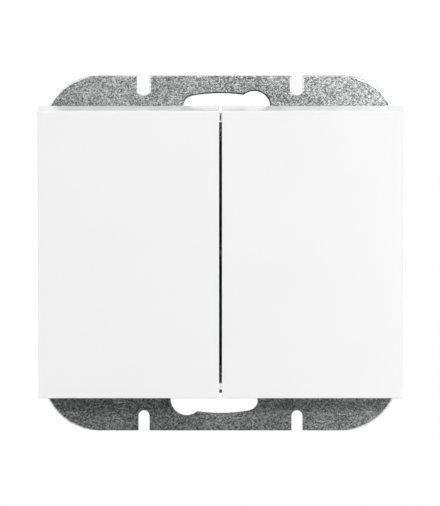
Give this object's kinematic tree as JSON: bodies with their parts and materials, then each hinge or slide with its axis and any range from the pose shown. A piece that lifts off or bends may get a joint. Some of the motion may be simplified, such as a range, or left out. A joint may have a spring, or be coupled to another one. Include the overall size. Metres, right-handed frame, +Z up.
{
  "type": "two-gang rocker wall switch",
  "caption": "Flush wall switch insert with wide white rocker keys side by side on a square galvanised mounting plate, with screw terminals and spreading claws.",
  "frame": {"origin": "centre of the fixing circle, on the mounting plate's back face, which lies on the wall", "axes": "+X to the right, +Y into the wall, +Z up; the keys face -Y"},
  "size_m": [0.0722, 0.0366, 0.071],
  "materials": {
    "galvanised_steel": "galvanised sheet with a fine grey grain",
    "white_key": "smooth moulded white",
    "body_plastic": "dark grey moulded",
    "cover_plastic": "dark grey moulded",
    "toggle_plastic": "natural white moulded",
    "plunger_plastic": "ivory moulded",
    "brass": "bright pressed brass",
    "contact_copper": "pressed copper alloy",
    "contact_silver": "silver rivet, soft sheen",
    "spring_steel": "drawn spring wire",
    "screw_steel": "bright zinc-plated",
    "claw_steel": "zinc-plated pressed steel"
  },
  "bodies": {
    "insert": {"mounting_plate": "galvanised_steel", "base_housing": "body_plastic", "mechanism_cover": "cover_plastic", "line_terminal": "brass", "left_load_terminal": "brass", "right_load_terminal": "brass", "fixed_contacts": "contact_silver"},
    "left_rocker": {"left_rocker": "white_key", "left_toggle": "toggle_plastic", "left_spring": "spring_steel"},
    "left_plunger": {"left_plunger": "plunger_plastic"},
    "left_contact_arm": {"left_contact_arm": "contact_copper", "left_contact_tip": "contact_silver"},
    "right_rocker": {"right_rocker": "white_key", "right_toggle": "toggle_plastic", "right_spring": "spring_steel"},
    "right_plunger": {"right_plunger": "plunger_plastic"},
    "right_contact_arm": {"right_contact_arm": "contact_copper", "right_contact_tip": "contact_silver"},
    "upper_left_terminal_screw": {"upper_left_terminal_screw": "screw_steel"},
    "upper_right_terminal_screw": {"upper_right_terminal_screw": "screw_steel"},
    "lower_left_terminal_screw": {"lower_left_terminal_screw": "screw_steel"},
    "lower_right_terminal_screw": {"lower_right_terminal_screw": "screw_steel"},
    "left_claw_screw": {"left_claw_screw": "screw_steel"},
    "left_claw_nut": {"left_claw_nut": "claw_steel"},
    "left_claw": {"left_claw": "claw_steel"},
    "right_claw_screw": {"right_claw_screw": "screw_steel"},
    "right_claw_nut": {"right_claw_nut": "claw_steel"},
    "right_claw": {"right_claw": "claw_steel"}
  },
  "joints": [
    {"name": "left_rocker_tilt", "type": "hinge", "parent": "insert", "child": "left_rocker", "pos_m": [-0.01, -0.0075, 0], "axis": [1, 0, 0], "range_deg": [-10, 0]},
    {"name": "left_plunger_travel", "type": "slide", "parent": "left_rocker", "child": "left_plunger", "axis": [0, -0.9962, -0.0872], "range_m": [0, 0.0012], "stiffness_N_per_m": 500, "springref_m": -0.003, "deforming": ["left_spring"]},
    {"name": "left_contact_rock", "type": "hinge", "parent": "insert", "child": "left_contact_arm", "pos_m": [-0.01, 0.0135, 0], "axis": [1, 0, 0], "range_deg": [0, 15]},
    {"name": "right_rocker_tilt", "type": "hinge", "parent": "insert", "child": "right_rocker", "pos_m": [0.01, -0.0075, 0], "axis": [1, 0, 0], "range_deg": [-10, 0]},
    {"name": "right_plunger_travel", "type": "slide", "parent": "right_rocker", "child": "right_plunger", "axis": [0, -0.9962, -0.0872], "range_m": [0, 0.0012], "stiffness_N_per_m": 500, "springref_m": -0.003, "deforming": ["right_spring"]},
    {"name": "right_contact_rock", "type": "hinge", "parent": "insert", "child": "right_contact_arm", "pos_m": [0.01, 0.0135, 0], "axis": [1, 0, 0], "range_deg": [0, 15]},
    {"name": "upper_left_terminal_screw_travel", "type": "slide", "parent": "insert", "child": "upper_left_terminal_screw", "axis": [0, 0, -1], "range_m": [0, 0.0024]},
    {"name": "upper_right_terminal_screw_travel", "type": "slide", "parent": "insert", "child": "upper_right_terminal_screw", "axis": [0, 0, -1], "range_m": [0, 0.0024]},
    {"name": "lower_left_terminal_screw_travel", "type": "slide", "parent": "insert", "child": "lower_left_terminal_screw", "axis": [0, 0, 1], "range_m": [0, 0.0024]},
    {"name": "lower_right_terminal_screw_travel", "type": "slide", "parent": "insert", "child": "lower_right_terminal_screw", "axis": [0, 0, 1], "range_m": [0, 0.0024]},
    {"name": "left_claw_nut_travel", "type": "slide", "parent": "insert", "child": "left_claw_nut", "axis": [0, -1, 0], "range_m": [0, 0.00128]},
    {"name": "left_claw_screw_turn", "type": "hinge", "parent": "insert", "child": "left_claw_screw", "pos_m": [-0.027, 0, 0], "axis": [0, 1, 0], "range_deg": [0, 921.6]},
    {"name": "left_claw_spread", "type": "hinge", "parent": "insert", "child": "left_claw", "pos_m": [-0.022, -0.00015, 0], "axis": [0, 0, 1], "range_deg": [0, 20]},
    {"name": "right_claw_nut_travel", "type": "slide", "parent": "insert", "child": "right_claw_nut", "axis": [0, -1, 0], "range_m": [0, 0.00128]},
    {"name": "right_claw_screw_turn", "type": "hinge", "parent": "insert", "child": "right_claw_screw", "pos_m": [0.027, 0, 0], "axis": [0, 1, 0], "range_deg": [0, 921.6]},
    {"name": "right_claw_spread", "type": "hinge", "parent": "insert", "child": "right_claw", "pos_m": [0.022, -0.00015, 0], "axis": [0, 0, -1], "range_deg": [0, 20]}
  ],
  "couplings": [
    {"joint": "left_contact_rock", "follows": "left_rocker_tilt", "ratio": -1.5},
    {"joint": "right_contact_rock", "follows": "right_rocker_tilt", "ratio": -1.5},
    {"joint": "left_claw_screw_turn", "follows": "left_claw_nut_travel", "rad_per_m": 12566},
    {"joint": "left_claw_spread", "follows": "left_claw_nut_travel", "rad_per_m": 272.7},
    {"joint": "right_claw_screw_turn", "follows": "right_claw_nut_travel", "rad_per_m": 12566},
    {"joint": "right_claw_spread", "follows": "right_claw_nut_travel", "rad_per_m": 272.7}
  ]
}
